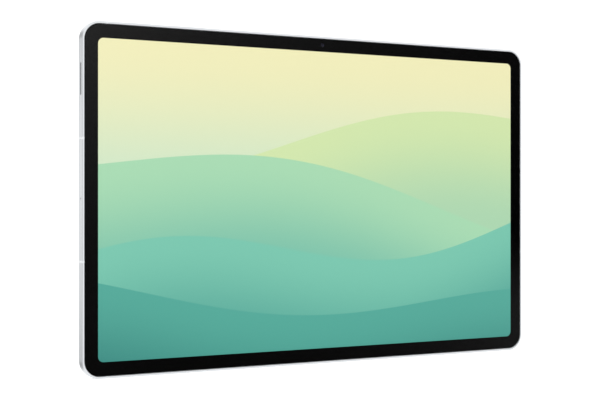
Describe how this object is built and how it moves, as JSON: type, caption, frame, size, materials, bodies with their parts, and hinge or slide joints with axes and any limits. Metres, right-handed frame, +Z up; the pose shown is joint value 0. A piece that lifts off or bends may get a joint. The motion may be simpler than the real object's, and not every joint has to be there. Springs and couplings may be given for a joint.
{
  "type": "tablet computer",
  "caption": "Thin upright slab tablet computer: aluminium case, black-bordered wide screen, edge keys, side speakers, rear camera and slide-out card tray.",
  "frame": {"origin": "middle of the bottom long edge, at the body's mid-thickness; the tablet stands upright on that edge", "axes": "+X to the right of someone facing the screen, along the long edge; +Y from the screen out through the back, through the thickness; +Z up"},
  "size_m": [0.3006, 0.0069, 0.1951],
  "materials": {
    "silver_aluminium": "fine matt anodised",
    "antenna_plastic": "satin white moulding",
    "cover_glass": "polished",
    "border_ink": "matt black print",
    "seal_foam": "dark adhesive foam",
    "display_panel": "lit picture behind glass",
    "stamped_steel": "plain stamped",
    "white_film": "matt white",
    "light_guide": "clear moulded sheet",
    "battery_foil": "matt black wrapped foil",
    "circuit_board": "green solder resist",
    "flex_film": "amber film",
    "black_plastic": "matt black moulding",
    "lens_glass": "coated",
    "sensor_coating": "silver coated",
    "tray_rubber": "matt moulded",
    "gold_contact": "gold plated",
    "speaker_cone": "dark film",
    "speaker_mesh": "fine perforated"
  },
  "bodies": {
    "case": {"antenna_frame": "antenna_plastic", "backlight_led_bar": "white_film", "backlight_pan": "stamped_steel", "battery_board": "circuit_board", "battery_cell_left": "battery_foil", "battery_cell_right": "battery_foil", "battery_flex": "flex_film", "border_film": "border_ink", "card_socket": "stamped_steel", "cover_glass": "cover_glass", "diffuser_film": "white_film", "display_flex": "flex_film", "display_seal": "seal_foam", "front_camera_body": "black_plastic", "front_camera_lens": "lens_glass", "key_bracket": "stamped_steel", "key_flex": "flex_film", "keyboard_contact_block": "antenna_plastic", "keyboard_contact_left": "gold_contact", "keyboard_contact_middle": "gold_contact", "keyboard_contact_right": "gold_contact", "lcd_panel": "display_panel", "light_guide": "light_guide", "main_board": "circuit_board", "microphone": "stamped_steel", "power_shield": "stamped_steel", "power_switch": "stamped_steel", "processor_shield": "stamped_steel", "radio_shield": "stamped_steel", "rear_camera_body": "black_plastic", "rear_camera_ring": "silver_aluminium", "rear_camera_window": "lens_glass", "rear_housing": "silver_aluminium", "screw_board_bottom": "stamped_steel", "screw_board_side": "stamped_steel", "screw_board_top": "stamped_steel", "screw_key_bracket_left": "stamped_steel", "screw_key_bracket_right": "stamped_steel", "screw_usb_board": "stamped_steel", "speaker_left_box": "black_plastic", "speaker_left_grille": "speaker_mesh", "speaker_right_box": "black_plastic", "speaker_right_grille": "speaker_mesh", "usb_board": "circuit_board", "usb_flex": "flex_film", "usb_port_shell": "stamped_steel", "usb_port_tongue": "black_plastic", "volume_down_switch": "stamped_steel", "volume_up_switch": "stamped_steel"},
    "power_key": {"power_key": "silver_aluminium", "fingerprint_sensor": "sensor_coating"},
    "volume_key": {"volume_key": "silver_aluminium"},
    "card_tray": {"card_tray": "silver_aluminium", "card_tray_seal": "tray_rubber"},
    "eject_rod": {"eject_rod": "stamped_steel"},
    "eject_lever": {"eject_lever": "stamped_steel"},
    "eject_plate": {"eject_plate": "stamped_steel"},
    "rear_camera_lens": {"rear_camera_lens": "lens_glass"},
    "speaker_left_cone": {"speaker_left_cone": "speaker_cone"},
    "speaker_right_cone": {"speaker_right_cone": "speaker_cone"}
  },
  "joints": [
    {"name": "power_key_press", "type": "slide", "parent": "case", "child": "power_key", "axis": [0, 0, -1], "range_m": [0, 0.00025]},
    {"name": "volume_key_rock", "type": "hinge", "parent": "case", "child": "volume_key", "pos_m": [-0.088, 0.0001, 0.19287], "axis": [0, 1, 0], "range_deg": [-1.5, 1.5]},
    {"name": "card_tray_slide", "type": "slide", "parent": "case", "child": "card_tray", "axis": [0, 0, 1], "range_m": [0, 0.02]},
    {"name": "eject_rod_press", "type": "slide", "parent": "case", "child": "eject_rod", "axis": [0, 0, -1], "range_m": [0, 0.0012]},
    {"name": "eject_lever_turn", "type": "hinge", "parent": "case", "child": "eject_lever", "pos_m": [-0.0575, 0.00055, 0.17265], "axis": [0, -1, 0], "range_deg": [0, 10.8]},
    {"name": "eject_plate_push", "type": "slide", "parent": "case", "child": "eject_plate", "axis": [0, 0, 1], "range_m": [0, 0.0012]},
    {"name": "rear_camera_focus", "type": "slide", "parent": "case", "child": "rear_camera_lens", "axis": [0, 1, 0], "range_m": [0, 0.0003]},
    {"name": "speaker_left_cone_stroke", "type": "slide", "parent": "case", "child": "speaker_left_cone", "axis": [0, 1, 0], "range_m": [-0.0002, 0.0002]},
    {"name": "speaker_right_cone_stroke", "type": "slide", "parent": "case", "child": "speaker_right_cone", "axis": [0, 1, 0], "range_m": [-0.0002, 0.0002]}
  ],
  "couplings": [
    {"joint": "eject_lever_turn", "follows": "eject_rod_press", "rad_per_m": 156.25},
    {"joint": "eject_plate_push", "follows": "eject_rod_press", "ratio": 1}
  ]
}
